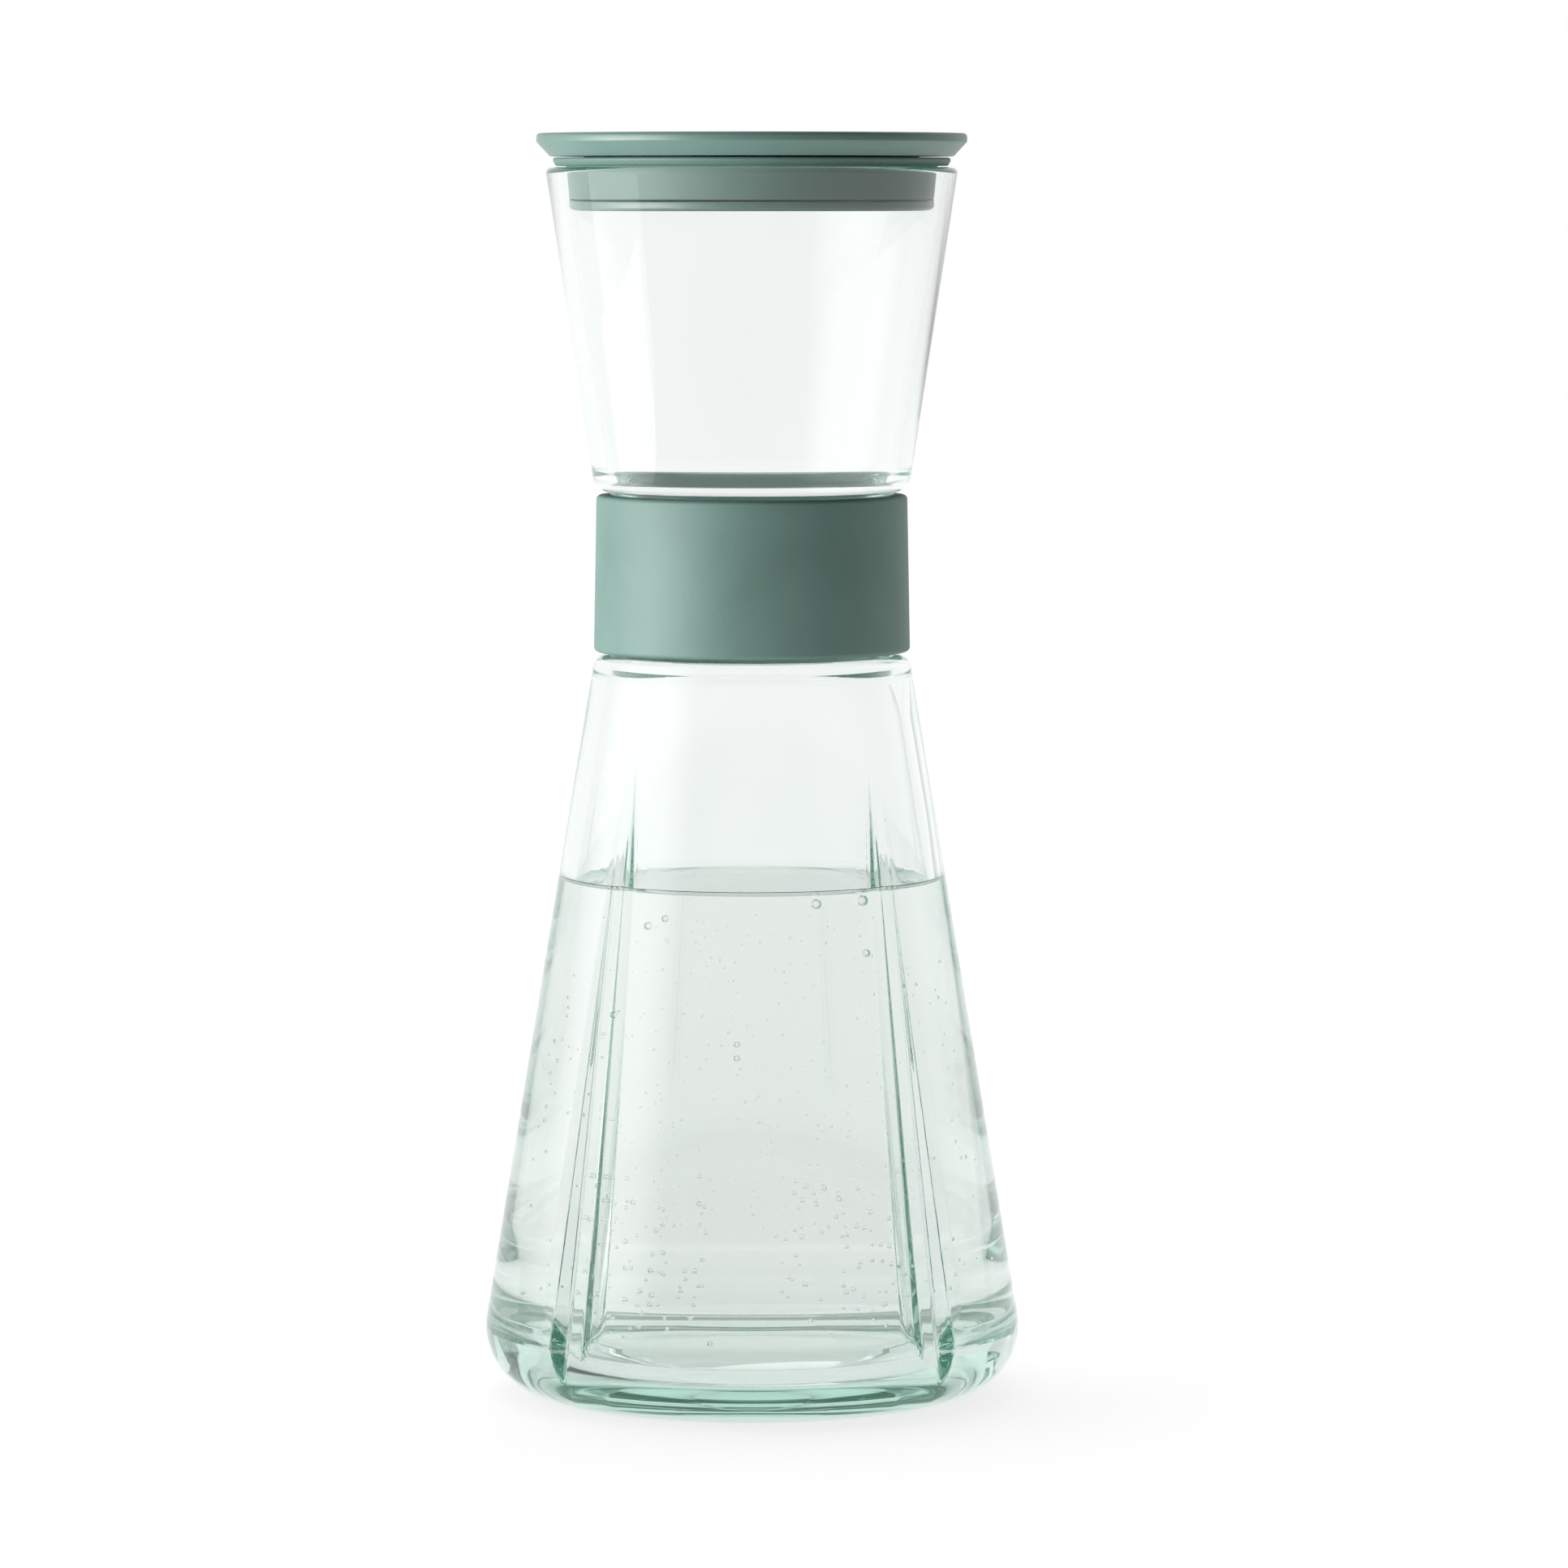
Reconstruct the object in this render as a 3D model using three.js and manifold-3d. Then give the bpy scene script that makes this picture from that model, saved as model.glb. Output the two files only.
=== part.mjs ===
// Table carafe with a sleeve around its neck and a lift-off lid.
// Millimetres, +Z up, origin at the middle of the foot on the table.
import * as THREE from "three";
import { mergeVertices } from "three/addons/utils/BufferGeometryUtils.js";
import Module from "manifold-3d";

const wasm = await Module();
wasm.setup();

// Glass, outside: two straight cones that meet in a recessed neck
const footRadius = 58.8; // lower cone carried down to the table
const shoulderRadius = 33.0; // lower cone at the neck
const shoulderHeight = 155.6;
const neckRadius = 29.8;
const neckLength = 34.4;
const funnelFootRadius = 32.9; // upper cone where it leaves the neck
const mouthRadius = 43.2; // upper cone at the rim
const funnelLength = 67.6;
const shoulderRound = 3.0;
const footRound = 14.0;

// Glass, underside: a flat ring to stand on and a shallow hollow inside it
const standOuterRadius = 45.0;
const standWidth = 3.0;
const undersideRise = 2.2; // how far the base lifts from the table between ring and wall
const hollowRise = 6.1;

// Glass, wall and floor
const mouthWall = 2.6;
const funnelWall = 3.0;
const neckWall = 3.0;
const shoulderWall = 3.3;
const baseWall = 4.4;
const floorThickness = 8.9;
const floorCrown = 0.8; // the floor rises this much towards the middle
const dimpleRadius = 12.0; // and dips again in the middle itself
const dimpleDepth = 0.6;
const innerNeckRound = 9.0;
const innerFootRound = 13.0;

// Glass, four upright grooves outside; inside, a broad rib behind each groove and a narrow crest along the rib
const grooveCount = 4;
const grooveFirstAngle = 45;
const grooveTopHeight = 122;
const grooveDepth = 2.5; // at the foot
const grooveHalfWidth = 3.0; // at the foot
const grooveTipRound = 0.6;
const ribTopHeight = 137.5;
const ribDepth = 3.6; // at the foot
const ribHalfWidth = 3.6; // at the foot, before its tip is rounded
const ribTipRound = 11.0;
const crestTopHeight = 118;
const crestTopDepth = 0.5;
const crestDepth = 5.2; // at the foot
const crestHalfWidth = 5.7; // at the foot
const crestTipRound = 1.5;

// Fits
const fitGap = 0.3;

// Neck band
const bandTopWall = 2.5;
const bandBottomWall = 3.1;
const bandEndGap = 0.8;
const bandEdgeRound = 0.9;

// Lid, a cap with a seal under it and a plug that holds the seal
const capRadius = 45.0;
const capThickness = 5.2;
const capEdgeHeight = 2.2; // upright part of the edge, its roundings included
const capUnderRadius = 42.2; // where the slanted underside ends
const capTopRound = 1.0;
const capEdgeRound = 0.6;
const capPanel = 2.4; // thickness of the cap over its socket
const socketRadius = 32.5;
const socketWall = 2.5;
const sealFlangeRadius = 41.9; // under the cap
const sealFlangeFootRadius = 41.0; // on the rim
const sealFlangeThickness = 1.7;
const sealFlangeRound = 0.5;
const sealTopRadius = 38.8;
const sealBottomRadius = 38.2;
const sealDepth = 7.0; // sleeve below the flange
const plugThickness = 2.0;
const plugRound = 0.8;
const plugCollarHeight = 5.6;
const plugCollarWall = 2.2;

// Fineness of the round shapes
const roundSegments = 64;
const roundingSag = 0.06; // how far a straight piece of a rounding may lie from its arc

// Heights that follow from the sizes above
const neckTop = shoulderHeight + neckLength;
const glassHeight = neckTop + funnelLength;
const sealFlangeBottom = glassHeight + fitGap;
const sealTop = sealFlangeBottom + sealFlangeThickness;
const sealBottom = sealFlangeBottom - sealDepth;
const capBottom = sealTop + fitGap;
const capTop = capBottom + capThickness;
const plugTop = sealBottom - fitGap;
const plugBottom = plugTop - plugThickness;
const socketOuterRadius = socketRadius + socketWall;

// Walls of the cones as radius at a height
const along = (height, lowHeight, lowRadius, highHeight, highRadius) =>
  lowRadius + ((highRadius - lowRadius) * (height - lowHeight)) / (highHeight - lowHeight);
const coneOutside = (height) => along(height, 0, footRadius, shoulderHeight, shoulderRadius);
const coneInside = (height) =>
  along(height, 0, footRadius - baseWall, shoulderHeight, shoulderRadius - shoulderWall);

// How many straight pieces make an arc of that bend
function arcSteps(bend, rounding) {
  const stepBend = 2 * Math.acos(1 - Math.min(1, roundingSag / rounding));
  return Math.max(2, Math.ceil(bend / stepBend));
}

// A profile from corner points [radius, height, rounding]; each rounding is an arc tangent to both sides
function roundedProfile(corners, closed) {
  const points = [];
  corners.forEach(([radius, height, rounding], index) => {
    const here = new THREE.Vector2(radius, height);
    if (!rounding) {
      points.push(here);
      return;
    }
    const before = corners[(index + corners.length - 1) % corners.length];
    const after = corners[(index + 1) % corners.length];
    const toBefore = new THREE.Vector2(before[0], before[1]).sub(here).normalize();
    const toAfter = new THREE.Vector2(after[0], after[1]).sub(here).normalize();
    const opening = Math.acos(THREE.MathUtils.clamp(toBefore.dot(toAfter), -1, 1));
    const bend = Math.PI - opening;
    const pull = rounding / Math.tan(opening / 2);
    const toCentre = toBefore.clone().add(toAfter).normalize();
    const centre = here.clone().addScaledVector(toCentre, rounding / Math.sin(opening / 2));
    const start = here.clone().addScaledVector(toBefore, pull);
    const turn = Math.sign(toAfter.cross(toBefore));
    const steps = arcSteps(bend, rounding);
    for (let step = 0; step <= steps; step += 1) {
      points.push(start.clone().rotateAround(centre, (turn * bend * step) / steps));
    }
  });
  if (closed) {
    points.push(points[0].clone());
  }
  return points;
}

// Geometry to a solid and back
function solidOf(geometry) {
  const bare = geometry.clone();
  bare.deleteAttribute("normal");
  bare.deleteAttribute("uv");
  const merged = mergeVertices(bare, 1e-5);
  const index = merged.index.array;
  const triangles = [];
  for (let at = 0; at < index.length; at += 3) {
    const [a, b, c] = [index[at], index[at + 1], index[at + 2]];
    if (a !== b && b !== c && c !== a) {
      triangles.push(a, b, c);
    }
  }
  const mesh = new wasm.Mesh({
    numProp: 3,
    vertProperties: new Float32Array(merged.attributes.position.array),
    triVerts: new Uint32Array(triangles),
  });
  return new wasm.Manifold(mesh);
}

function geometryOf(solid) {
  const mesh = solid.getMesh();
  const geometry = new THREE.BufferGeometry();
  geometry.setAttribute("position", new THREE.BufferAttribute(mesh.vertProperties, 3));
  geometry.setIndex(new THREE.BufferAttribute(mesh.triVerts, 1));
  geometry.computeVertexNormals();
  return geometry;
}

function turned(corners, closed) {
  const geometry = new THREE.LatheGeometry(roundedProfile(corners, closed), roundSegments);
  geometry.rotateX(Math.PI / 2);
  return solidOf(geometry);
}

// A long wedge with a rounded tip that points at the axis; its tip runs from low to high [radius, height]
function wedge(low, high, halfWidthPerDepth, tipRound, reach, angle) {
  const flank = Math.atan(halfWidthPerDepth);
  const tipBack = tipRound / Math.sin(flank) - tipRound;
  const side = reach * halfWidthPerDepth;
  const shape = new THREE.Shape();
  shape.moveTo(side, reach - tipBack);
  shape.lineTo(-side, reach - tipBack);
  shape.absarc(0, tipRound, tipRound, Math.PI + flank, 2 * Math.PI - flank, false);
  const radial = high[0] - low[0];
  const upright = high[1] - low[1];
  const geometry = new THREE.ExtrudeGeometry(shape, {
    depth: Math.hypot(radial, upright),
    bevelEnabled: false,
    curveSegments: arcSteps(Math.PI - 2 * flank, tipRound),
  });
  geometry.rotateX(Math.atan2(-radial, upright));
  geometry.translate(0, low[0], low[1]);
  geometry.rotateZ(THREE.MathUtils.degToRad(angle));
  return solidOf(geometry);
}

// Carafe glass
const standInnerRadius = standOuterRadius - standWidth;
const hollowSphere = (standInnerRadius ** 2 + hollowRise ** 2) / (2 * hollowRise);
const hollowSteps = 8;
const hollow = [];
for (let step = 0; step <= hollowSteps; step += 1) {
  const radius = (standInnerRadius * step) / hollowSteps;
  hollow.push([radius, Math.sqrt(hollowSphere ** 2 - radius ** 2) - hollowSphere + hollowRise, 0]);
}
const glassOutside = turned(
  [
    ...hollow,
    [standOuterRadius, 0, 0],
    [coneOutside(undersideRise), undersideRise, footRound],
    [shoulderRadius, shoulderHeight, shoulderRound],
    [neckRadius, shoulderHeight, 0],
    [neckRadius, neckTop, 0],
    [funnelFootRadius, neckTop, shoulderRound],
    [mouthRadius, glassHeight, mouthWall * 0.45],
    [mouthRadius - mouthWall / 2, glassHeight, 0],
    [0, glassHeight, 0],
  ],
  false,
);
const innerNeckRadius = neckRadius - neckWall;
const innerNeckReach = (innerNeckRound * (shoulderWall + neckWall)) / 12;
const cavityTop = glassHeight + mouthWall;
const innerMouthRadius = mouthRadius - mouthWall;
const funnelInside = (height) =>
  along(height, neckTop, funnelFootRadius - funnelWall, glassHeight, innerMouthRadius);
const floorRadius = coneInside(floorThickness);
const cavity = turned(
  [
    [0, floorThickness + floorCrown - dimpleDepth, 0],
    [dimpleRadius, floorThickness + floorCrown, 0],
    [floorRadius * 0.5, floorThickness + floorCrown * 0.75, 0],
    [floorRadius, floorThickness, innerFootRound],
    [coneInside(shoulderHeight - innerNeckReach), shoulderHeight - innerNeckReach, innerNeckRound],
    [innerNeckRadius, shoulderHeight + innerNeckReach, innerNeckRound],
    [innerNeckRadius, neckTop - innerNeckReach, innerNeckRound],
    [funnelInside(neckTop + innerNeckReach), neckTop + innerNeckReach, innerNeckRound],
    [innerMouthRadius, glassHeight, mouthWall * 0.9],
    [innerMouthRadius + mouthWall / 2, glassHeight, 0],
    [innerMouthRadius + mouthWall / 2, cavityTop, 0],
    [0, cavityTop, 0],
  ],
  false,
);
const grooveLow = [coneOutside(0) - grooveDepth, 0];
const grooveHigh = [coneOutside(grooveTopHeight), grooveTopHeight];
const ribLow = [coneInside(0) - ribDepth, 0];
const ribHigh = [coneInside(ribTopHeight), ribTopHeight];
const crestLow = [coneInside(0) - crestDepth, 0];
const crestHigh = [coneInside(crestTopHeight) - crestTopDepth, crestTopHeight];
const grooveShare = grooveHalfWidth / grooveDepth;
const ribShare = ribHalfWidth / ribDepth;
const crestShare = crestHalfWidth / crestDepth;
let glass = glassOutside;
let inside = cavity;
for (let count = 0; count < grooveCount; count += 1) {
  const angle = grooveFirstAngle + (360 * count) / grooveCount;
  glass = glass.subtract(wedge(grooveLow, grooveHigh, grooveShare, grooveTipRound, grooveDepth * 3, angle));
  inside = inside.subtract(wedge(ribLow, ribHigh, ribShare, ribTipRound, ribDepth * 3, angle));
  inside = inside.subtract(wedge(crestLow, crestHigh, crestShare, crestTipRound, crestDepth * 1.6, angle));
}
const carafeGlass = glass.subtract(inside);

// Neck band
const bandBottom = shoulderHeight + bandEndGap;
const bandTop = neckTop - bandEndGap;
const bandInnerRadius = neckRadius + fitGap;
const bandTopRadius = bandInnerRadius + bandTopWall;
const bandBottomRadius = bandInnerRadius + bandBottomWall;
const neckBand = turned(
  [
    [bandInnerRadius, bandBottom, 0],
    [bandBottomRadius, bandBottom, bandEdgeRound],
    [bandTopRadius, bandTop, bandEdgeRound],
    [bandInnerRadius, bandTop, 0],
  ],
  true,
);

// Lid cap with a round socket under it
const lidCap = turned(
  [
    [0, capTop - capPanel, 0],
    [socketRadius, capTop - capPanel, 0],
    [socketRadius, sealBottom, 0],
    [socketOuterRadius, sealBottom, 0],
    [socketOuterRadius, capBottom, 0],
    [capUnderRadius, capBottom, 0],
    [capRadius, capTop - capEdgeHeight, capEdgeRound],
    [capRadius, capTop, capTopRound],
    [0, capTop, 0],
  ],
  false,
);

// Lid seal, a sleeve on the socket with a flange over the rim
const sealInnerRadius = socketOuterRadius + fitGap;
const lidSeal = turned(
  [
    [sealInnerRadius, sealBottom, 0],
    [sealBottomRadius, sealBottom, 0],
    [sealTopRadius, sealFlangeBottom, 0],
    [sealFlangeFootRadius, sealFlangeBottom, sealFlangeRound],
    [sealFlangeRadius, sealTop, sealFlangeRound],
    [sealInnerRadius, sealTop, 0],
  ],
  true,
);

// Lid plug, a closed disc with a collar that stands in the socket
const collarRadius = socketRadius - fitGap;
const lidPlug = turned(
  [
    [0, plugBottom, 0],
    [sealBottomRadius, plugBottom, plugRound],
    [sealBottomRadius, plugTop, 0],
    [collarRadius, plugTop, 0],
    [collarRadius, plugTop + plugCollarHeight, 0],
    [collarRadius - plugCollarWall, plugTop + plugCollarHeight, 0],
    [collarRadius - plugCollarWall, plugTop, 0],
    [0, plugTop, 0],
  ],
  false,
);

// Assembly
const carafe = new THREE.Group();
const addPiece = (name, solid, material) => {
  const piece = new THREE.Mesh(geometryOf(solid), new THREE.MeshStandardMaterial(material));
  piece.name = name;
  carafe.add(piece);
};
const silicone = { color: 0x7fa399, roughness: 0.7, metalness: 0 };
addPiece("carafe_glass", carafeGlass, { color: 0xdcebe4, roughness: 0.05, metalness: 0 });
addPiece("neck_band", neckBand, silicone);
addPiece("lid_cap", lidCap, { color: 0x7fa399, roughness: 0.5, metalness: 0 });
addPiece("lid_seal", lidSeal, silicone);
addPiece("lid_plug", lidPlug, { color: 0x7fa399, roughness: 0.5, metalness: 0 });

export default carafe;
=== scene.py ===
"""Waisted glass carafe, half full of water, with a neck band and a lift-off lid in a white studio."""
import math
import random

import bpy
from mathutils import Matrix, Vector


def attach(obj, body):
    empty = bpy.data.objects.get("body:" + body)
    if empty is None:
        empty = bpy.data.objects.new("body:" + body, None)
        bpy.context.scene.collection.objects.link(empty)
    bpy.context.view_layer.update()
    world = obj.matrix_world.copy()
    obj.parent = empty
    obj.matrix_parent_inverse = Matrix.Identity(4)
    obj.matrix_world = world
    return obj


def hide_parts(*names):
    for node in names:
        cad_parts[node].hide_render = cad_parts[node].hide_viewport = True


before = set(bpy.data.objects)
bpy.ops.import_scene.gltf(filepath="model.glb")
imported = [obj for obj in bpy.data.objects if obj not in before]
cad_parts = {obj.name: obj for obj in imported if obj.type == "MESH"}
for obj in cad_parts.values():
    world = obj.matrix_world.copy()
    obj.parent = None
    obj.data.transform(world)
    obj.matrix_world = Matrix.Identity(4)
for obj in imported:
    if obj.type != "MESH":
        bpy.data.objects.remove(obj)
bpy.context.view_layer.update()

MM = 0.001

# Sizes of the glass in millimetres, as in the part's source
FOOT_RADIUS = 58.8  # lower cone carried down to the table
SHOULDER_RADIUS = 33.0
SHOULDER_HEIGHT = 155.6
NECK_RADIUS = 29.8
NECK_TOP = 190.0
FUNNEL_FOOT_RADIUS = 32.9
MOUTH_RADIUS = 43.2
GLASS_HEIGHT = 257.6
SHOULDER_ROUND = 3.0
FOOT_ROUND = 14.0
STAND_OUTER_RADIUS = 45.0
STAND_WIDTH = 3.0
UNDERSIDE_RISE = 2.2  # how far the base lifts from the table between ring and wall
HOLLOW_RISE = 6.1
MOUTH_WALL = 2.6
RIM_ROUND = MOUTH_WALL * 0.45
FUNNEL_WALL = 3.0
NECK_WALL = 3.0
SHOULDER_WALL = 3.3
BASE_WALL = 4.4
FLOOR_THICKNESS = 8.9
FLOOR_CROWN = 0.8  # the floor rises this much towards the middle
CROWN_BEND_PLACE = 0.5  # where its slope changes, as a share of the floor's radius
CROWN_BEND_RISE = 0.75  # and what share of the crown it has there
FLOOR_BEND_ROUND = 12.0
DIMPLE_RADIUS = 12.0
DIMPLE_DEPTH = 0.6
INNER_NECK_ROUND = 9.0
INNER_NECK_REACH = INNER_NECK_ROUND * (SHOULDER_WALL + NECK_WALL) / 12
INNER_FOOT_ROUND = 13.0

# Grooves outside, and inside a broad rib behind each with a narrow crest on it
GROOVE_COUNT = 4
GROOVE_FIRST_ANGLE = 45.0
GROOVE_TOP = 122.0
GROOVE_DEPTH = 2.5
GROOVE_SHARE = 1.2  # half width per depth, as in the shares of rib and crest
GROOVE_TIP_ROUND = 0.6
RIB_TOP = 143.0
RIB_DEPTH = 4.8
RIB_TAPER = 1.3  # power by which the depth falls towards the top
RIB_SHARE = 1.0
RIB_TIP_ROUND = 12.0
RIB_TIP_SPREAD = 18.0  # tip rounding per depth near the rib's top, where it is shallow
CREST_TOP = 119.5
CREST_TOP_DEPTH = 0.5
CREST_DEPTH = 7.0
CREST_SHARE = 1.3
CREST_TIP_ROUND = 0.8
EDGE_BLEND = 0.2
LEAST_BLEND = 0.01

# Water
WATER_LEVEL = 107.2
MENISCUS_RISE = 1.7
MENISCUS_REACH = 1.6
MENISCUS_WIDTH = 9.0
WATER_EDGE = WATER_LEVEL + MENISCUS_RISE
WATER_EDGE_GAP = 0.2  # least height between the wall's last ring and the water's edge
WATER_OVERLAP = 0.15  # the water's skin lies this far inside the glass, so no air film shows

# Bubbles as seen from the front: across, height, radius
LARGE_BUBBLES = [
    (-20.4, 101.2, 0.9), (-17.1, 102.9, 0.8), (22.4, 95.5, 0.9), (-27.1, 82.5, 0.8),
    (-3.0, 77.8, 0.7), (-3.0, 75.0, 0.7), (12.6, 106.0, 1.1), (21.6, 106.2, 1.2),
]
BUBBLE_SWARMS = [
    {"count": 80, "across": (-31, -8), "height": (16, 48), "radius": (0.3, 0.65)},
    {"count": 70, "across": (4, 27), "height": (16, 48), "radius": (0.3, 0.65)},
    {"count": 60, "across": (24, 46), "height": (18, 92), "radius": (0.2, 0.45)},
    {"count": 60, "across": (-46, -24), "height": (18, 92), "radius": (0.2, 0.45)},
    {"count": 240, "across": (-28, 28), "height": (36, 102), "radius": (0.14, 0.32)},
]
BUBBLE_SEED = 12
BUBBLE_WALL_GAP = 1.0
BUBBLE_LEAST_DEPTH = 1.0
SWARM_WALL_GAP = 6.0
SWARM_DEPTHS = (0.3, 1.0)  # share of the way from the middle to the front wall

# Band and lid
FIT_GAP = 0.3
BAND_TOP_RADIUS = 32.6
BAND_BOTTOM_RADIUS = 33.2
BAND_END_GAP = 0.8
BAND_EDGE_ROUND = 0.9
CAP_RADIUS = 45.0
CAP_THICKNESS = 4.8
CAP_EDGE_HEIGHT = 1.8
CAP_UNDER_RADIUS = 42.2
CAP_TOP_ROUND = 0.8
CAP_EDGE_ROUND = 0.5
CAP_PANEL = 2.4
SOCKET_RADIUS = 32.5
SOCKET_WALL = 2.5
SEAL_FLANGE_RADIUS = 41.9
SEAL_FLANGE_FOOT_RADIUS = 41.0
SEAL_FLANGE_THICKNESS = 1.7
SEAL_FLANGE_ROUND = 0.5
SEAL_TOP_RADIUS = 38.8
SEAL_TOP_ROUND = 0.4
SEAL_BOTTOM_RADIUS = 38.2
SEAL_BOTTOM_ROUND = 0.25
SEAL_DEPTH = 7.0
PLUG_THICKNESS = 2.0
PLUG_ROUND = 0.8
PLUG_TOP_ROUND = 0.25
PLUG_COLLAR_HEIGHT = 5.6
PLUG_COLLAR_WALL = 2.2

# Sizes that follow from those above
STAND_INNER_RADIUS = STAND_OUTER_RADIUS - STAND_WIDTH
HOLLOW_SPHERE = (STAND_INNER_RADIUS ** 2 + HOLLOW_RISE ** 2) / (2 * HOLLOW_RISE)
INNER_NECK_RADIUS = NECK_RADIUS - NECK_WALL
INNER_NECK_LOW = SHOULDER_HEIGHT - INNER_NECK_REACH
INNER_NECK_HIGH = NECK_TOP + INNER_NECK_REACH
INNER_MOUTH_RADIUS = MOUTH_RADIUS - MOUTH_WALL
BAND_INNER_RADIUS = NECK_RADIUS + FIT_GAP
BAND_BOTTOM = SHOULDER_HEIGHT + BAND_END_GAP
BAND_TOP = NECK_TOP - BAND_END_GAP
SEAL_FLANGE_BOTTOM = GLASS_HEIGHT + FIT_GAP
SEAL_TOP = SEAL_FLANGE_BOTTOM + SEAL_FLANGE_THICKNESS
SEAL_BOTTOM = SEAL_FLANGE_BOTTOM - SEAL_DEPTH
CAP_BOTTOM = SEAL_TOP + FIT_GAP
CAP_TOP = CAP_BOTTOM + CAP_THICKNESS
PLUG_TOP = SEAL_BOTTOM - FIT_GAP
PLUG_BOTTOM = PLUG_TOP - PLUG_THICKNESS
SOCKET_OUTER_RADIUS = SOCKET_RADIUS + SOCKET_WALL
SEAL_INNER_RADIUS = SOCKET_OUTER_RADIUS + FIT_GAP
COLLAR_RADIUS = SOCKET_RADIUS - FIT_GAP
COLLAR_TOP = PLUG_TOP + PLUG_COLLAR_HEIGHT

# Fineness of the meshes
ARC_STEPS = 8  # of a right angle
GLASS_ARC_STEPS = 18
HOLLOW_STEPS = 12
MENISCUS_STEPS = 24
LONGEST_STEP = 4.0
WATER_LONGEST_STEP = 3.0
LEVEL_RINGS = (0.7, 0.4, 0.15)  # rings on the level water, as shares of its edge's radius
TURNED_COLUMNS = 192
COLUMN_ZONES = [(4.4, 20), (10.5, 18), (180 / GROOVE_COUNT, 12)]  # end angle from a groove, and number
FLOOR_COLUMNS = 64
BUBBLE_RINGS = 8
TINY_BUBBLE = 0.33
TINY_BUBBLE_RINGS = 6
GLASS_SHARP_ANGLE = 60
TURNED_SHARP_ANGLE = 40
ON_AXIS = 1e-6

# Colours and grain
WHITE = (1, 1, 1)
SAGE_DARK = (0.097, 0.189, 0.160)
SAGE_PALE = (0.119, 0.220, 0.189)
SAGE_SPECULAR = 0.75
GRAIN_STRENGTH = 0.15
GRAIN_HEIGHT = 0.0002
CLOUD_START = 0.3
CLOUD_END = 0.7

# Studio light, where 1 is the white of the background; places in metres
# The floor's glow is dimmed to the front and far to the right as painted shade
FLOOR_FRONT_PAINTED_SHADE = {"start": -0.8, "end": -0.3, "before": 0.35, "after": 0.76}
FLOOR_RIGHT_PAINTED_SHADE = {"start": 0.65, "end": 1.3, "before": 1.0, "after": 0.45}
FLOOR_RINGS = (200, 1000, 4000)  # millimetres
# A card on the floor that glows by itself as painted light, standing in for a brightly lit patch of table
CARD_CORNERS = [(-0.62, -0.24, 0.001), (-0.60, 0.22, 0.001), (-1.16, 0.40, 0.001), (-1.0, -0.38, 0.001)]
CARD_GLOW = 1.7
CARD_DRIFT = 0.05
ROOM_BEHIND = {"start": -0.1, "end": 0.8, "before": 0.0, "after": 1.0}
ROOM_FRONT_COLOUR = (0.1, 0.1, 0.1, 1)
SIDE_GLOW_TOWARD = (-1.0, -0.12, 0.22)
SIDE_GLOW_COLOUR = (1.3, 1.3, 1.3, 1)
SIDE_GLOW = {
    "start": math.cos(math.radians(42)),
    "end": math.cos(math.radians(10)),
    "before": 0.0,
    "after": 1.0,
}
TOP_BOX = {"place": (-0.4, 0.3, 1.6), "target": (0, 0, 0.1), "size": 1.2, "watts": 3.0}
SIDE_BOX = {"place": (-1.1, -0.4, 0.1), "target": (0, 0, 0.2), "width": 1.1, "height": 0.3, "watts": 17.0}
NECK_LAMP = {"place": (0, 0, (SHOULDER_HEIGHT + NECK_TOP) / 2 * MM), "radius": 0.01, "watts": 0.02}

# Camera, fitted to the photograph's outline; lengths in metres, angles in degrees
CAMERA_DISTANCE = 1.5
CAMERA_HEIGHT = 0.2516
CAMERA_PITCH = 4.70
CAMERA_YAW = 0.257
FOCAL_PIXELS = 8810
IMAGE_PIXELS = 1932


# Walls of the cones as radius at a height
def along(height, low_height, low_radius, high_height, high_radius):
    share = (height - low_height) / (high_height - low_height)
    return low_radius + (high_radius - low_radius) * share


def cone_outside(height):
    return along(height, 0, FOOT_RADIUS, SHOULDER_HEIGHT, SHOULDER_RADIUS)


def cone_inside(height):
    return along(height, 0, FOOT_RADIUS - BASE_WALL, SHOULDER_HEIGHT, SHOULDER_RADIUS - SHOULDER_WALL)


def funnel_inside(height):
    return along(height, NECK_TOP, FUNNEL_FOOT_RADIUS - FUNNEL_WALL, GLASS_HEIGHT, INNER_MOUTH_RADIUS)


# Profiles
def rounded_profile(corners, closed=False, steps=ARC_STEPS):
    """Points [radius, height] through corners [radius, height, rounding]."""
    points = []
    for index, (radius, height, rounding) in enumerate(corners):
        here = Vector((radius, height))
        if not rounding:
            points.append(here)
            continue
        before = Vector(corners[index - 1][:2])
        after = Vector(corners[(index + 1) % len(corners)][:2])
        to_before = (before - here).normalized()
        to_after = (after - here).normalized()
        opening = to_before.angle(to_after)
        bend = math.pi - opening
        toward = (to_before + to_after).normalized()
        centre = here + toward * (rounding / math.sin(opening / 2))
        arm = here + to_before * (rounding / math.tan(opening / 2)) - centre
        turn = math.copysign(bend, to_after.cross(to_before))
        count = max(2, math.ceil(steps * bend / (math.pi / 2)))
        for step in range(count + 1):
            angle = turn * step / count
            spun = Vector((
                arm.x * math.cos(angle) - arm.y * math.sin(angle),
                arm.x * math.sin(angle) + arm.y * math.cos(angle),
            ))
            points.append(centre + spun)
    if closed:
        points.append(points[0].copy())
    return points


def filled(points, longest, below=math.inf):
    """The same line with points added, so that no step below that height is longer than asked."""
    result = [points[0]]
    for start, end in zip(points, points[1:]):
        length = (end - start).length if max(start.y, end.y) <= below else 0.0
        count = max(1, math.ceil(length / longest))
        result += [start.lerp(end, step / count) for step in range(1, count + 1)]
    return result


def smooth_min(a, b, blend):
    overlap = max(blend - abs(a - b), 0.0) / blend
    return min(a, b) - overlap * overlap * blend / 4


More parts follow.
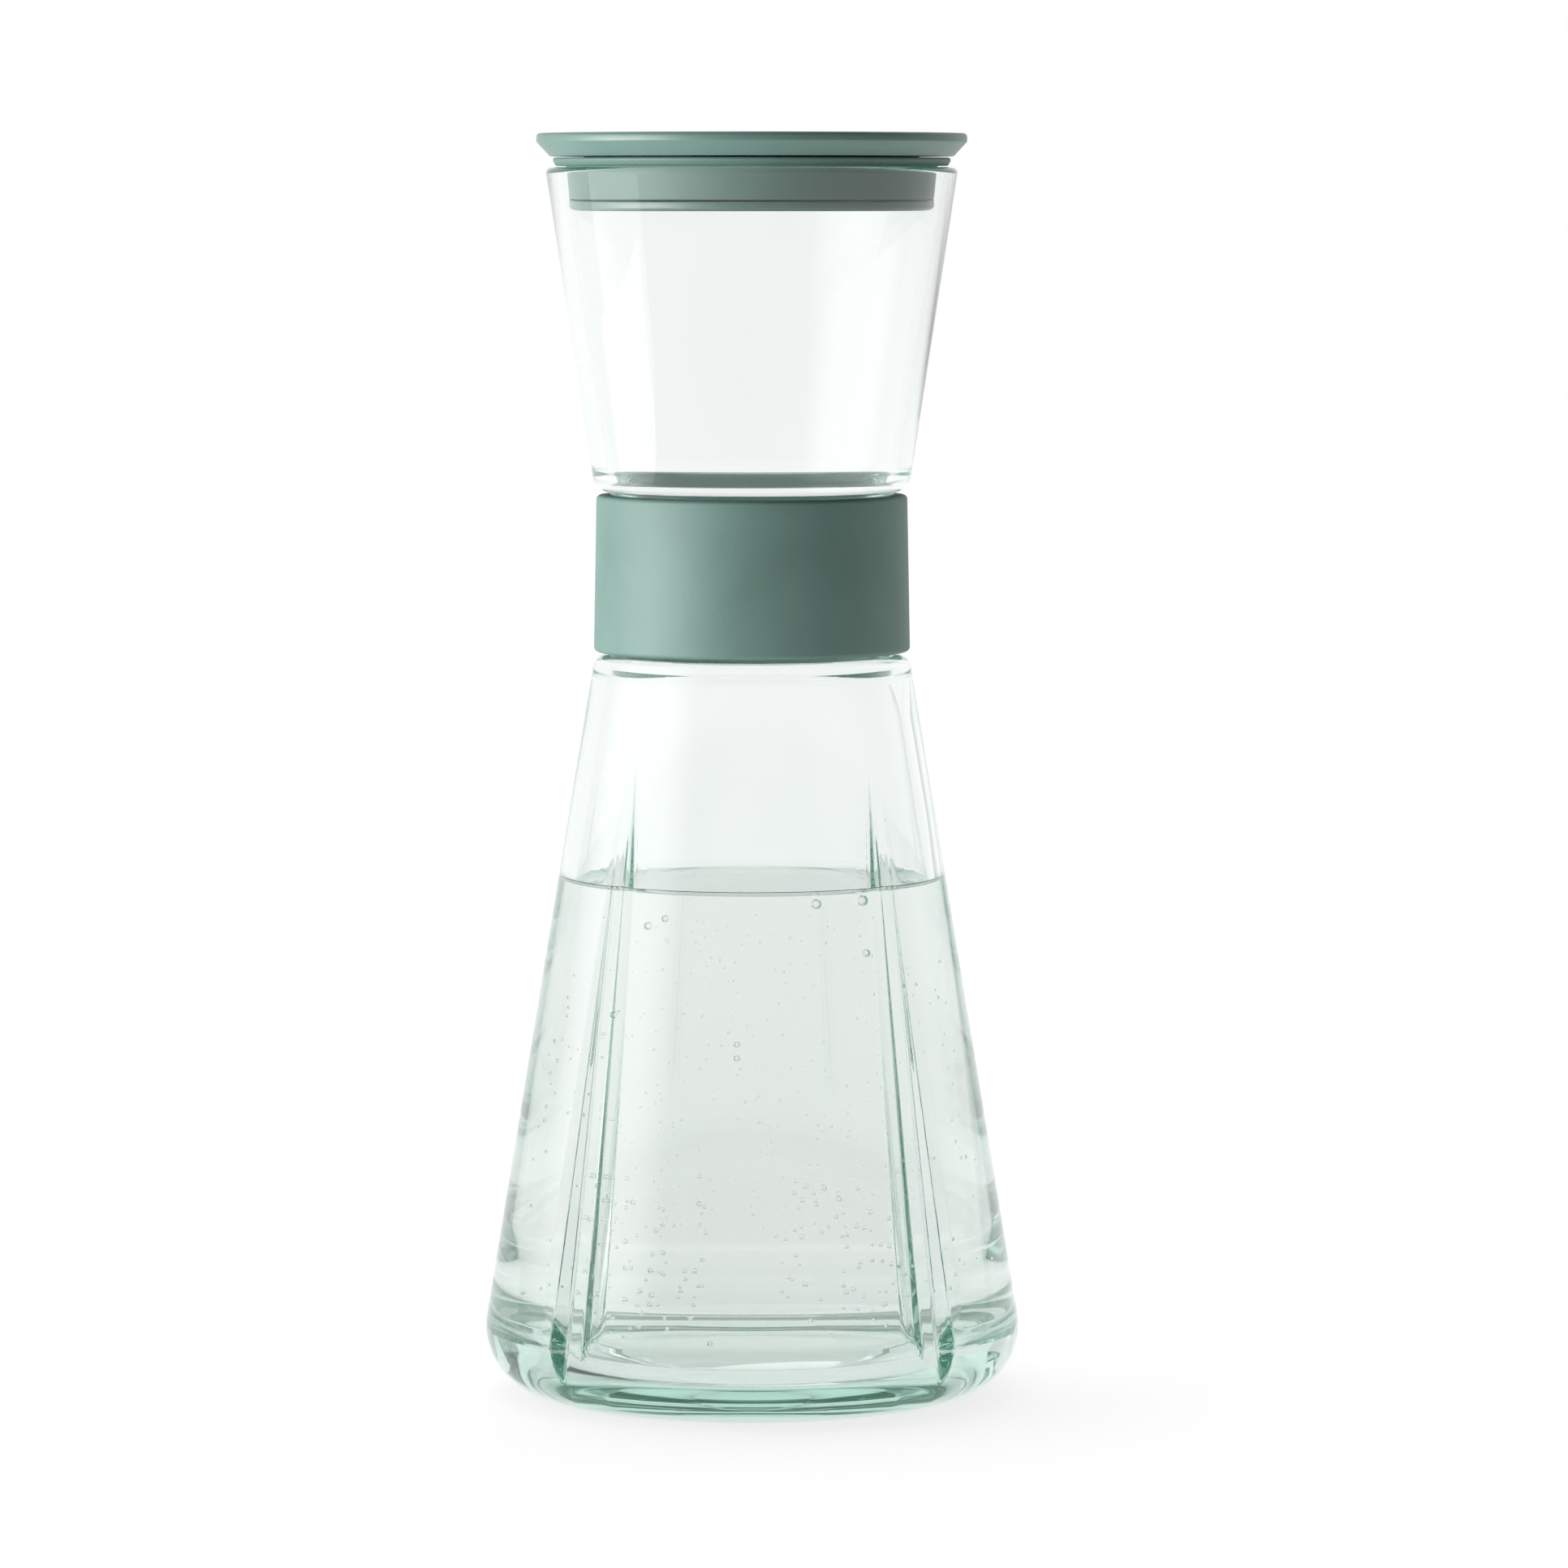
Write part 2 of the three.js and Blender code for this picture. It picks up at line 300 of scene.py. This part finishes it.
def wedge_radius(tip_radius, share, tip_round, delta):
    """Radius of a wedge's faces at an angle from its middle."""
    across = tip_radius * abs(math.tan(delta))
    flank = math.atan(share)
    arc_end = tip_round * math.cos(flank)
    if across < arc_end:
        rise = tip_round - math.sqrt(tip_round ** 2 - across ** 2)
    else:
        rise = tip_round * (1 - math.sin(flank)) + (across - arc_end) / share
    return (tip_radius + rise) / math.cos(delta)


def from_groove(angle):
    """Angle from the nearest groove's middle, in radians."""
    pitch = math.tau / GROOVE_COUNT
    offset = angle - math.radians(GROOVE_FIRST_ANGLE)
    return (offset + pitch / 2) % pitch - pitch / 2


def edge_blend(depth):
    """Width of a softened edge, which fades out with the groove or rib it belongs to."""
    return min(EDGE_BLEND, depth + LEAST_BLEND)


def outside_radius(radius, height, angle):
    """Radius of the glass outside, with its grooves."""
    if height > GROOVE_TOP:
        return radius
    depth = along(height, 0, GROOVE_DEPTH, GROOVE_TOP, 0)
    face = wedge_radius(cone_outside(height) - depth, GROOVE_SHARE, GROOVE_TIP_ROUND, from_groove(angle))
    return smooth_min(radius, face, edge_blend(depth))


def inside_radius(radius, height, angle, grow=0.0):
    """Radius of the glass inside, with its ribs and crests moved into the wall by grow."""
    delta = from_groove(angle)
    if height < RIB_TOP:
        depth = RIB_DEPTH * (1 - height / RIB_TOP) ** RIB_TAPER
        tip_round = min(RIB_TIP_ROUND, RIB_TIP_SPREAD * depth)
        face = wedge_radius(cone_inside(height) - depth + grow, RIB_SHARE, tip_round, delta)
        radius = smooth_min(radius, face, edge_blend(depth))
    if height < CREST_TOP:
        depth = along(height, 0, CREST_DEPTH, CREST_TOP, CREST_TOP_DEPTH)
        face = wedge_radius(cone_inside(height) - depth + grow, CREST_SHARE, CREST_TIP_ROUND, delta)
        radius = smooth_min(radius, face, edge_blend(depth - CREST_TOP_DEPTH))
    return radius


def water_radius(radius, height, angle):
    return inside_radius(radius + WATER_OVERLAP, height, angle, WATER_OVERLAP)


# Meshes
def groove_columns():
    """Angles round the glass, close together at the grooves and wider between them."""
    half = []
    start = 0.0
    for end, count in COLUMN_ZONES:
        half += [start + (end - start) * step / count for step in range(1, count + 1)]
        start = end
    around = [-value for value in reversed(half[:-1])] + [0.0] + half
    angles = []
    for count in range(GROOVE_COUNT):
        middle = GROOVE_FIRST_ANGLE + 360 / GROOVE_COUNT * count
        angles += [math.radians(middle + value) for value in around]
    return angles


def plain_columns(count):
    return [math.tau * step / count for step in range(count)]


def ringed_mesh(rows, angles, loop=False):
    """Vertices and faces of rows of rings; a row's radius is a function of angle, or None on the axis."""
    verts = []
    starts = []
    for row in rows:
        starts.append(len(verts))
        if row["radius"] is None:
            verts.append((0.0, 0.0, row["height"] * MM))
            continue
        for angle in angles:
            radius = row["radius"](angle) * MM
            verts.append((radius * math.cos(angle), radius * math.sin(angle), row["height"] * MM))
    faces = []
    count = len(angles)
    pairs = list(zip(range(len(rows) - 1), range(1, len(rows))))
    if loop:
        pairs.append((len(rows) - 1, 0))
    for low, high in pairs:
        for column in range(count):
            after = (column + 1) % count
            if rows[low]["radius"] is None:
                faces.append((starts[low], starts[high] + after, starts[high] + column))
            elif rows[high]["radius"] is None:
                faces.append((starts[low] + column, starts[low] + after, starts[high]))
            else:
                faces.append((
                    starts[low] + column, starts[low] + after,
                    starts[high] + after, starts[high] + column,
                ))
    return verts, faces


def row_of(point, shape=None):
    """Row of a mesh through a profile's point, plainly round or by a shape of radius, height and angle."""
    radius, height = point
    if radius < ON_AXIS:
        return {"radius": None, "height": height}
    if shape is None:
        return {"radius": lambda angle, radius=radius: radius, "height": height}
    return {
        "radius": lambda angle, radius=radius, height=height: shape(radius, height, angle),
        "height": height,
    }


def add_object(name, verts, faces, material, sharp_angle=None):
    mesh = bpy.data.meshes.new(name)
    mesh.from_pydata(verts, [], faces)
    mesh.polygons.foreach_set("use_smooth", [True] * len(mesh.polygons))
    if sharp_angle is not None:
        mesh.set_sharp_from_angle(angle=math.radians(sharp_angle))
    mesh.materials.append(material)
    mesh.update()
    obj = bpy.data.objects.new(name, mesh)
    bpy.context.scene.collection.objects.link(obj)
    return obj


def turned_object(name, corners, material, closed):
    points = filled(rounded_profile(corners, closed), LONGEST_STEP)
    if closed:
        points = points[:-1]
    rows = [row_of(point) for point in points]
    verts, faces = ringed_mesh(rows, plain_columns(TURNED_COLUMNS), loop=closed)
    return add_object(name, verts, faces, material, TURNED_SHARP_ANGLE)


# Materials
def new_material(name):
    material = bpy.data.materials.new(name)
    material.use_nodes = True
    nodes = material.node_tree.nodes
    return material, nodes, material.node_tree.links, nodes["Principled BSDF"]


def object_noise(nodes, links, scale, detail):
    coordinates = nodes.new("ShaderNodeTexCoord")
    noise = nodes.new("ShaderNodeTexNoise")
    noise.inputs["Scale"].default_value = scale
    noise.inputs["Detail"].default_value = detail
    links.new(coordinates.outputs["Object"], noise.inputs["Vector"])
    return noise


def cloudy_colour(nodes, links, shader, scale, low, high):
    """Base colour that drifts between two shades."""
    cloud = object_noise(nodes, links, scale, detail=3.0)
    shades = nodes.new("ShaderNodeValToRGB")
    shades.color_ramp.elements[0].position = CLOUD_START
    shades.color_ramp.elements[0].color = (*low, 1)
    shades.color_ramp.elements[1].position = CLOUD_END
    shades.color_ramp.elements[1].color = (*high, 1)
    links.new(cloud.outputs["Fac"], shades.inputs["Fac"])
    links.new(shades.outputs["Color"], shader.inputs["Base Color"])


def clear_material(name, scale, low, ior, tint, density):
    """Clear body whose tint deepens with the way that light takes through it."""
    material, nodes, links, shader = new_material(name)
    cloudy_colour(nodes, links, shader, scale, low, WHITE)
    shader.inputs["Roughness"].default_value = 0.0
    shader.inputs["IOR"].default_value = ior
    shader.inputs["Transmission Weight"].default_value = 1.0
    absorb = nodes.new("ShaderNodeVolumeAbsorption")
    absorb.inputs["Color"].default_value = (*tint, 1)
    absorb.inputs["Density"].default_value = density
    links.new(absorb.outputs["Volume"], nodes["Material Output"].inputs["Volume"])
    return material


def sage_material(name, roughness, grain):
    """Sage green with a fine grain; grain is the number of its specks in a metre."""
    material, nodes, links, shader = new_material(name)
    cloudy_colour(nodes, links, shader, scale=60.0, low=SAGE_DARK, high=SAGE_PALE)
    shader.inputs["Roughness"].default_value = roughness
    shader.inputs["Specular IOR Level"].default_value = SAGE_SPECULAR
    specks = object_noise(nodes, links, grain, detail=2.0)
    bump = nodes.new("ShaderNodeBump")
    bump.inputs["Strength"].default_value = GRAIN_STRENGTH
    bump.inputs["Distance"].default_value = GRAIN_HEIGHT
    links.new(specks.outputs["Fac"], bump.inputs["Height"])
    links.new(bump.outputs["Normal"], shader.inputs["Normal"])
    return material


def soft_step(nodes, links, value, step):
    """Smooth change from one level to another between two places."""
    node = nodes.new("ShaderNodeMapRange")
    node.interpolation_type = "SMOOTHSTEP"
    node.inputs["From Min"].default_value = step["start"]
    node.inputs["From Max"].default_value = step["end"]
    node.inputs["To Min"].default_value = step["before"]
    node.inputs["To Max"].default_value = step["after"]
    links.new(value, node.inputs["Value"])
    return node.outputs["Result"]


def floor_material():
    """Pale floor, lit and glowing evenly round the glass, with painted shade where its glow falls off to
    the front and far to the right.
    """
    material, nodes, links, shader = new_material("pale_studio_floor")
    cloudy_colour(nodes, links, shader, scale=3.0, low=(0.545, 0.545, 0.545), high=(0.555, 0.555, 0.555))
    shader.inputs["Roughness"].default_value = 0.9
    shader.inputs["Specular IOR Level"].default_value = 0.0
    shader.inputs["Emission Color"].default_value = (*WHITE, 1)
    coordinates = nodes.new("ShaderNodeTexCoord")
    place = nodes.new("ShaderNodeSeparateXYZ")
    links.new(coordinates.outputs["Object"], place.inputs["Vector"])
    # Painted shade: the floor's glow falls off to the front and to the right
    front = soft_step(nodes, links, place.outputs["Y"], FLOOR_FRONT_PAINTED_SHADE)
    right = soft_step(nodes, links, place.outputs["X"], FLOOR_RIGHT_PAINTED_SHADE)
    glow = nodes.new("ShaderNodeMath")
    glow.operation = "MULTIPLY"
    links.new(front, glow.inputs[0])
    links.new(right, glow.inputs[1])
    links.new(glow.outputs["Value"], shader.inputs["Emission Strength"])
    return material


# The card glows by itself as painted light, standing in for a brightly lit patch of table
def card_material():
    material, nodes, links, shader = new_material("white_painted_light_card")
    cloud = object_noise(nodes, links, scale=5.0, detail=2.0)
    glow = nodes.new("ShaderNodeMapRange")
    glow.inputs["To Min"].default_value = CARD_GLOW * (1 - CARD_DRIFT)
    glow.inputs["To Max"].default_value = CARD_GLOW * (1 + CARD_DRIFT)
    links.new(cloud.outputs["Fac"], glow.inputs["Value"])
    links.new(glow.outputs["Result"], shader.inputs["Emission Strength"])
    shader.inputs["Emission Color"].default_value = (*WHITE, 1)
    return material


# Lamps
def add_lamp(name, kind, lamp):
    """Lamp that the camera doesn't see, turned to its target if it has one."""
    light = bpy.data.lights.new(name, kind)
    light.energy = lamp["watts"]
    lamp_object = bpy.data.objects.new(name, light)
    lamp_object.location = lamp["place"]
    lamp_object.visible_camera = False
    if "target" in lamp:
        toward = Vector(lamp["target"]) - lamp_object.location
        lamp_object.rotation_euler = toward.to_track_quat("-Z", "Y").to_euler()
    bpy.context.scene.collection.objects.link(lamp_object)
    return lamp_object


def light_only(lamp_object, group_name, pieces):
    """Let a lamp light these pieces alone, shaded by nothing else."""
    group = bpy.data.collections.new(group_name)
    for piece in pieces:
        group.objects.link(piece)
    lamp_object.light_linking.receiver_collection = group
    lamp_object.light_linking.blocker_collection = group


# Glass
hollow = []
for step in range(HOLLOW_STEPS + 1):
    radius = STAND_INNER_RADIUS * step / HOLLOW_STEPS
    hollow.append((radius, math.sqrt(HOLLOW_SPHERE ** 2 - radius ** 2) - HOLLOW_SPHERE + HOLLOW_RISE, 0))
floor_radius = cone_inside(FLOOR_THICKNESS)
outside_line = rounded_profile([
    *hollow,
    (STAND_OUTER_RADIUS, 0, 0),
    (cone_outside(UNDERSIDE_RISE), UNDERSIDE_RISE, FOOT_ROUND),
    (cone_outside(GROOVE_TOP), GROOVE_TOP, 0),
    (SHOULDER_RADIUS, SHOULDER_HEIGHT, SHOULDER_ROUND),
    (NECK_RADIUS, SHOULDER_HEIGHT, 0),
    (NECK_RADIUS, NECK_TOP, 0),
    (FUNNEL_FOOT_RADIUS, NECK_TOP, SHOULDER_ROUND),
    (MOUTH_RADIUS, GLASS_HEIGHT, RIM_ROUND),
    (MOUTH_RADIUS - MOUTH_WALL / 2, GLASS_HEIGHT, 0),
], steps=GLASS_ARC_STEPS)
inside_line = rounded_profile([
    (INNER_MOUTH_RADIUS + MOUTH_WALL / 2, GLASS_HEIGHT, 0),
    (INNER_MOUTH_RADIUS, GLASS_HEIGHT, RIM_ROUND),
    (funnel_inside(INNER_NECK_HIGH), INNER_NECK_HIGH, INNER_NECK_ROUND),
    (INNER_NECK_RADIUS, NECK_TOP - INNER_NECK_REACH, INNER_NECK_ROUND),
    (INNER_NECK_RADIUS, SHOULDER_HEIGHT + INNER_NECK_REACH, INNER_NECK_ROUND),
    (cone_inside(INNER_NECK_LOW), INNER_NECK_LOW, INNER_NECK_ROUND),
    (cone_inside(RIB_TOP), RIB_TOP, 0),
    (floor_radius, FLOOR_THICKNESS, INNER_FOOT_ROUND),
    (floor_radius * CROWN_BEND_PLACE, FLOOR_THICKNESS + FLOOR_CROWN * CROWN_BEND_RISE, FLOOR_BEND_ROUND),
    (DIMPLE_RADIUS, FLOOR_THICKNESS + FLOOR_CROWN, FLOOR_BEND_ROUND),
    (0, FLOOR_THICKNESS + FLOOR_CROWN - DIMPLE_DEPTH, 0),
], steps=GLASS_ARC_STEPS)
glass_look = clear_material(
    "green_tinted_glass", scale=25.0, low=(0.98, 0.99, 0.985),
    ior=1.51, tint=(0.36, 0.76, 0.64), density=11.0,
)
glass_rows = [row_of(point, outside_radius) for point in filled(outside_line, LONGEST_STEP, RIB_TOP)]
glass_rows += [row_of(point, inside_radius) for point in filled(inside_line, LONGEST_STEP, RIB_TOP)[1:]]
glass_verts, glass_faces = ringed_mesh(glass_rows, groove_columns())
glass = add_object("glass_body", glass_verts, glass_faces, glass_look, GLASS_SHARP_ANGLE)
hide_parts("carafe_glass")
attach(glass, "carafe")

# Water, up to a curved edge at the wall
wall_line = filled(inside_line, WATER_LONGEST_STEP)
wet_line = [point for point in reversed(wall_line) if point.y < WATER_EDGE - WATER_EDGE_GAP]
water_rows = []
for radius, height in wet_line:
    lowered = height - WATER_OVERLAP if height < FLOOR_THICKNESS + INNER_FOOT_ROUND / 2 else height
    water_rows.append(row_of((radius, lowered), water_radius))
edge_radius = cone_inside(WATER_EDGE)
water_rows.append(row_of((edge_radius, WATER_EDGE), water_radius))
for step in range(1, MENISCUS_STEPS + 1):
    inward = MENISCUS_WIDTH * (step / MENISCUS_STEPS) ** 2
    water_rows.append({
        "radius": lambda angle, inward=inward: water_radius(edge_radius, WATER_EDGE, angle) - inward,
        "height": WATER_LEVEL + MENISCUS_RISE * math.exp(-inward / MENISCUS_REACH),
    })
for share in LEVEL_RINGS:
    water_rows.append(row_of((edge_radius * share, WATER_LEVEL)))
water_rows.append({"radius": None, "height": WATER_LEVEL})
water_verts, water_faces = ringed_mesh(water_rows, groove_columns())


def add_bubble(across, height, radius, depth_share):
    """Hollow in the water, on the front wall at a depth share of one and nearer the middle below that."""
    reach = cone_inside(height) - radius - BUBBLE_WALL_GAP
    depth = -depth_share * math.sqrt(max(reach ** 2 - across ** 2, BUBBLE_LEAST_DEPTH ** 2))
    rings = BUBBLE_RINGS if radius > TINY_BUBBLE else TINY_BUBBLE_RINGS
    rows = []
    for step in range(rings + 1):
        tilt = math.pi * step / rings
        rows.append(row_of((radius * math.sin(tilt), height + radius * math.cos(tilt))))
    verts, faces = ringed_mesh(rows, plain_columns(rings * 2 - 2))
    first = len(water_verts)
    water_verts.extend((x + across * MM, y + depth * MM, z) for x, y, z in verts)
    water_faces.extend(tuple(first + corner for corner in face) for face in faces)


bubble_dice = random.Random(BUBBLE_SEED)
for across, height, radius in LARGE_BUBBLES:
    add_bubble(across, height, radius, 1.0)
for swarm in BUBBLE_SWARMS:
    for count in range(swarm["count"]):
        height = bubble_dice.uniform(*swarm["height"])
        radius = bubble_dice.uniform(*swarm["radius"])
        reach = cone_inside(height) - SWARM_WALL_GAP
        across = max(-reach, min(reach, bubble_dice.uniform(*swarm["across"])))
        add_bubble(across, height, radius, bubble_dice.uniform(*SWARM_DEPTHS))
water_look = clear_material(
    "still_water", scale=18.0, low=(0.985, 0.99, 0.985),
    ior=1.333, tint=(0.3, 0.4, 0.28), density=2.0,
)
water = add_object("water_fill", water_verts, water_faces, water_look, GLASS_SHARP_ANGLE)
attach(water, "carafe")

# Neck band
band_look = sage_material("sage_silicone", roughness=0.6, grain=900.0)
band = turned_object("band_sleeve", [
    (BAND_INNER_RADIUS, BAND_BOTTOM, 0),
    (BAND_BOTTOM_RADIUS, BAND_BOTTOM, BAND_EDGE_ROUND),
    (BAND_TOP_RADIUS, BAND_TOP, BAND_EDGE_ROUND),
    (BAND_INNER_RADIUS, BAND_TOP, 0),
], band_look, closed=True)
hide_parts("neck_band")
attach(band, "carafe")

# Lid
cap_look = sage_material("sage_plastic", roughness=0.42, grain=1400.0)
cap = turned_object("cap_shell", [
    (0, CAP_TOP - CAP_PANEL, 0),
    (SOCKET_RADIUS, CAP_TOP - CAP_PANEL, 0),
    (SOCKET_RADIUS, SEAL_BOTTOM, 0),
    (SOCKET_OUTER_RADIUS, SEAL_BOTTOM, 0),
    (SOCKET_OUTER_RADIUS, CAP_BOTTOM, 0),
    (CAP_UNDER_RADIUS, CAP_BOTTOM, 0),
    (CAP_RADIUS, CAP_TOP - CAP_EDGE_HEIGHT, CAP_EDGE_ROUND),
    (CAP_RADIUS, CAP_TOP, CAP_TOP_ROUND),
    (0, CAP_TOP, 0),
], cap_look, closed=False)
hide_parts("lid_cap")
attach(cap, "lid")

seal = turned_object("seal_collar", [
    (SEAL_INNER_RADIUS, SEAL_BOTTOM, 0),
    (SEAL_BOTTOM_RADIUS, SEAL_BOTTOM, SEAL_BOTTOM_ROUND),
    (SEAL_TOP_RADIUS, SEAL_FLANGE_BOTTOM, SEAL_TOP_ROUND),
    (SEAL_FLANGE_FOOT_RADIUS, SEAL_FLANGE_BOTTOM, SEAL_FLANGE_ROUND),
    (SEAL_FLANGE_RADIUS, SEAL_TOP, SEAL_FLANGE_ROUND),
    (SEAL_INNER_RADIUS, SEAL_TOP, 0),
], band_look, closed=True)
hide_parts("lid_seal")
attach(seal, "lid")

plug = turned_object("plug_disc", [
    (0, PLUG_BOTTOM, 0),
    (SEAL_BOTTOM_RADIUS, PLUG_BOTTOM, PLUG_ROUND),
    (SEAL_BOTTOM_RADIUS, PLUG_TOP, PLUG_TOP_ROUND),
    (COLLAR_RADIUS, PLUG_TOP, 0),
    (COLLAR_RADIUS, COLLAR_TOP, 0),
    (COLLAR_RADIUS - PLUG_COLLAR_WALL, COLLAR_TOP, 0),
    (COLLAR_RADIUS - PLUG_COLLAR_WALL, PLUG_TOP, 0),
    (0, PLUG_TOP, 0),
], cap_look, closed=False)
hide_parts("lid_plug")
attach(plug, "lid")

# Studio floor, and a card that lies on it at the left and glows as a painted pool of light
floor_verts, floor_faces = ringed_mesh(
    [{"radius": None, "height": 0.0}] + [row_of((reach, 0.0)) for reach in FLOOR_RINGS],
    plain_columns(FLOOR_COLUMNS),
)
floor_faces = [face[::-1] for face in floor_faces]
floor_object = add_object("studio_floor", floor_verts, floor_faces, floor_material())

card_object = add_object("painted_light_card", CARD_CORNERS, [(0, 1, 2, 3)], card_material())

# Room, bright behind the glass and dim in front, with a soft glow at the left
world = bpy.data.worlds.new("white_studio")
bpy.context.scene.world = world
world.use_nodes = True
world_nodes = world.node_tree.nodes
world_links = world.node_tree.links
direction = world_nodes.new("ShaderNodeTexCoord")
parts = world_nodes.new("ShaderNodeSeparateXYZ")
world_links.new(direction.outputs["Generated"], parts.inputs["Vector"])
behind = soft_step(world_nodes, world_links, parts.outputs["Y"], ROOM_BEHIND)
room = world_nodes.new("ShaderNodeMixRGB")
room.inputs["Color1"].default_value = ROOM_FRONT_COLOUR
room.inputs["Color2"].default_value = (*WHITE, 1)
world_links.new(behind, room.inputs["Fac"])
aim = world_nodes.new("ShaderNodeVectorMath")
aim.operation = "DOT_PRODUCT"
aim.inputs[1].default_value = Vector(SIDE_GLOW_TOWARD).normalized()
world_links.new(direction.outputs["Generated"], aim.inputs[0])
lobe = soft_step(world_nodes, world_links, aim.outputs["Value"], SIDE_GLOW)
lit_room = world_nodes.new("ShaderNodeMixRGB")
lit_room.blend_type = "ADD"
lit_room.inputs["Color2"].default_value = SIDE_GLOW_COLOUR
world_links.new(lobe, lit_room.inputs["Fac"])
world_links.new(room.outputs["Color"], lit_room.inputs["Color1"])
world_links.new(lit_room.outputs["Color"], world_nodes["Background"].inputs["Color"])

# A soft box above
top_box = add_lamp("top_soft_box", "AREA", TOP_BOX)
top_box.data.size = TOP_BOX["size"]

# A second soft box that lights only the band and the lid, so it leaves no streak on the glass
side_box = add_lamp("side_soft_box", "AREA", SIDE_BOX)
side_box.data.shape = "RECTANGLE"
side_box.data.size = SIDE_BOX["width"]
side_box.data.size_y = SIDE_BOX["height"]
light_only(side_box, "soft_pieces", (band, cap, seal, plug))

# A small lamp in the neck that lights only the inner face of the band, as daylight in the glass does
neck_lamp = add_lamp("neck_fill", "POINT", NECK_LAMP)
neck_lamp.data.shadow_soft_size = NECK_LAMP["radius"]
neck_lamp.visible_transmission = False
neck_lamp.visible_glossy = False
light_only(neck_lamp, "band_alone", (band,))

# Camera, nearly level with the rim and looking slightly down
camera = bpy.data.cameras.new("studio_camera")
camera.sensor_width = 36
camera.lens = FOCAL_PIXELS / IMAGE_PIXELS * camera.sensor_width
camera.clip_start = 0.01
camera_object = bpy.data.objects.new("studio_camera", camera)
camera_object.location = (0, -CAMERA_DISTANCE, CAMERA_HEIGHT)
camera_object.rotation_euler = (math.radians(90 - CAMERA_PITCH), 0, math.radians(-CAMERA_YAW))
bpy.context.scene.collection.objects.link(camera_object)
bpy.context.scene.camera = camera_object
bpy.context.scene.view_settings.view_transform = "Standard"

# Enough bounces for light that runs along the glass walls
cycles = bpy.context.scene.cycles
cycles.max_bounces = 96
cycles.transmission_bounces = 64
cycles.glossy_bounces = 64
